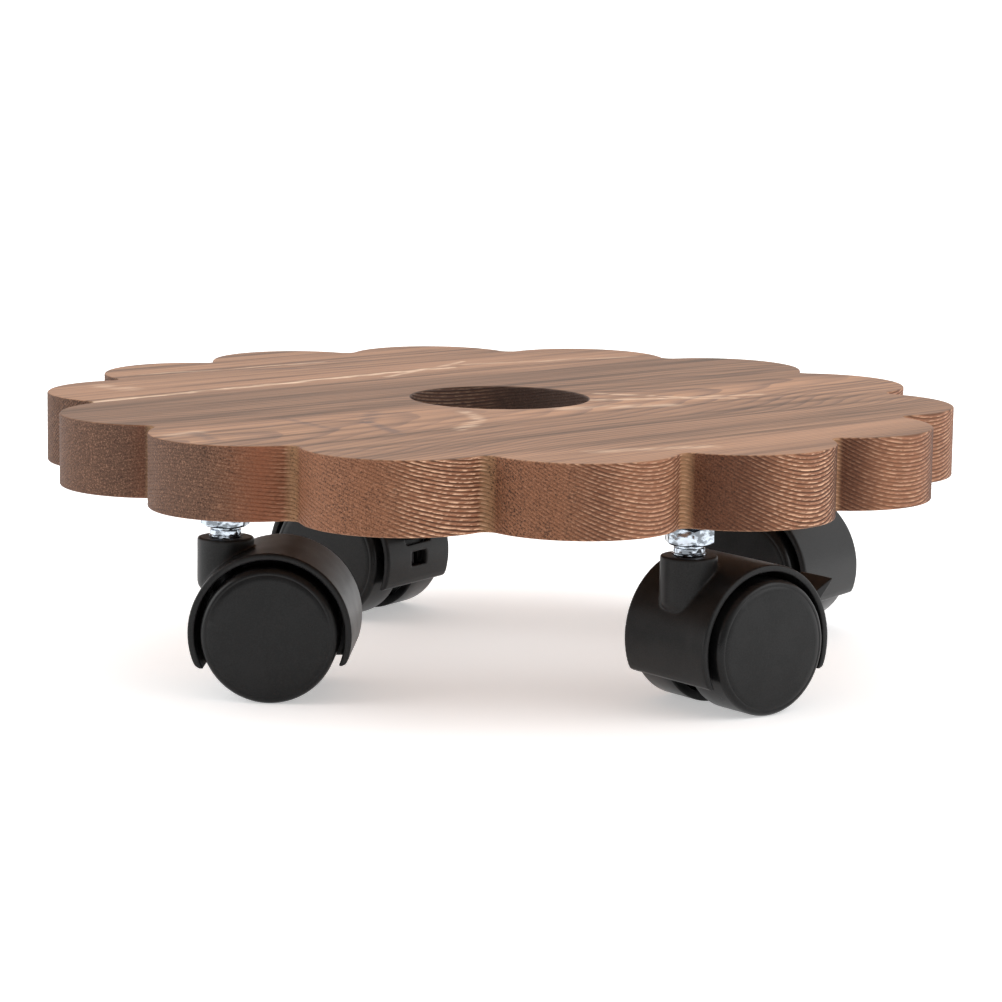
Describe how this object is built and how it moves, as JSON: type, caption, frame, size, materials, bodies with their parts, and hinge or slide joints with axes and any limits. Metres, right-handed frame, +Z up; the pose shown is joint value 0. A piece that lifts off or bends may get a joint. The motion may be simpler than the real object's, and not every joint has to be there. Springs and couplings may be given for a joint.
{
  "type": "plant pot caddy",
  "caption": "Low round caddy with a scalloped wooden board, a round centre hole and swivelling twin-wheel casters, for rolling a heavy plant pot about.",
  "frame": {"origin": "on the floor, under the middle of the board", "axes": "+Z up; +X through the tip of one petal, with the board's other petals evenly spaced from it"},
  "size_m": [0.28, 0.2744, 0.0808],
  "materials": {
    "wood": "brown heat-treated softwood with strong growth rings, satin oil",
    "zinc": "bright zinc plate",
    "spring_steel": "plain drawn steel",
    "hood_plastic": "black moulded nylon, satin",
    "wheel_plastic": "black moulded nylon with a fine grain on the outer face"
  },
  "bodies": {
    "board": {"board": "wood", "insert_1": "zinc", "insert_2": "zinc", "insert_3": "zinc", "insert_4": "zinc", "stem_1": "zinc", "stem_2": "zinc", "stem_3": "zinc", "stem_4": "zinc"},
    "caster_1": {"hood_1": "hood_plastic", "clip_1": "spring_steel", "axle_1": "spring_steel"},
    "wheel_1_left": {"wheel_1_left": "wheel_plastic"},
    "wheel_1_right": {"wheel_1_right": "wheel_plastic"},
    "brake_1": {"brake_lever_1": "hood_plastic", "brake_pin_1": "spring_steel"},
    "caster_2": {"hood_2": "hood_plastic", "clip_2": "spring_steel", "axle_2": "spring_steel"},
    "wheel_2_left": {"wheel_2_left": "wheel_plastic"},
    "wheel_2_right": {"wheel_2_right": "wheel_plastic"},
    "caster_3": {"hood_3": "hood_plastic", "clip_3": "spring_steel", "axle_3": "spring_steel"},
    "wheel_3_left": {"wheel_3_left": "wheel_plastic"},
    "wheel_3_right": {"wheel_3_right": "wheel_plastic"},
    "brake_3": {"brake_lever_3": "hood_plastic", "brake_pin_3": "spring_steel"},
    "caster_4": {"hood_4": "hood_plastic", "clip_4": "spring_steel", "axle_4": "spring_steel"},
    "wheel_4_left": {"wheel_4_left": "wheel_plastic"},
    "wheel_4_right": {"wheel_4_right": "wheel_plastic"}
  },
  "joints": [
    {"name": "swivel_1", "type": "hinge", "parent": "board", "child": "caster_1", "pos_m": [0.05703, -0.07644, 0.0458], "axis": [0, 0, 1], "continuous": true},
    {"name": "roll_1_left", "type": "hinge", "parent": "caster_1", "child": "wheel_1_left", "pos_m": [0.06874, -0.06706, 0.02], "axis": [-0.6252, 0.7804, 0], "continuous": true},
    {"name": "roll_1_right", "type": "hinge", "parent": "caster_1", "child": "wheel_1_right", "pos_m": [0.06874, -0.06706, 0.02], "axis": [-0.6252, 0.7804, 0], "continuous": true},
    {"name": "brake_press_1", "type": "hinge", "parent": "caster_1", "child": "brake_1", "pos_m": [0.08122, -0.05706, 0.0284], "axis": [-0.6252, 0.7804, 0], "range_deg": [0, 9]},
    {"name": "swivel_2", "type": "hinge", "parent": "board", "child": "caster_2", "pos_m": [0.07384, 0.05923, 0.0458], "axis": [0, 0, 1], "continuous": true},
    {"name": "roll_2_left", "type": "hinge", "parent": "caster_2", "child": "wheel_2_left", "pos_m": [0.08661, 0.05137, 0.02], "axis": [0.524, 0.8517, 0], "continuous": true},
    {"name": "roll_2_right", "type": "hinge", "parent": "caster_2", "child": "wheel_2_right", "pos_m": [0.08661, 0.05137, 0.02], "axis": [0.524, 0.8517, 0], "continuous": true},
    {"name": "swivel_3", "type": "hinge", "parent": "board", "child": "caster_3", "pos_m": [-0.06023, 0.07644, 0.0458], "axis": [0, 0, 1], "continuous": true},
    {"name": "roll_3_left", "type": "hinge", "parent": "caster_3", "child": "wheel_3_left", "pos_m": [-0.04737, 0.06871, 0.02], "axis": [0.515, 0.8572, 0], "continuous": true},
    {"name": "roll_3_right", "type": "hinge", "parent": "caster_3", "child": "wheel_3_right", "pos_m": [-0.04737, 0.06871, 0.02], "axis": [0.515, 0.8572, 0], "continuous": true},
    {"name": "brake_press_3", "type": "hinge", "parent": "caster_3", "child": "brake_3", "pos_m": [-0.03366, 0.06047, 0.0284], "axis": [0.515, 0.8572, 0], "range_deg": [0, 9]},
    {"name": "swivel_4", "type": "hinge", "parent": "board", "child": "caster_4", "pos_m": [-0.07864, -0.05923, 0.0458], "axis": [0, 0, 1], "continuous": true},
    {"name": "roll_4_left", "type": "hinge", "parent": "caster_4", "child": "wheel_4_left", "pos_m": [-0.06364, -0.05957, 0.02], "axis": [0.0227, 0.9997, 0], "continuous": true},
    {"name": "roll_4_right", "type": "hinge", "parent": "caster_4", "child": "wheel_4_right", "pos_m": [-0.06364, -0.05957, 0.02], "axis": [0.0227, 0.9997, 0], "continuous": true}
  ]
}
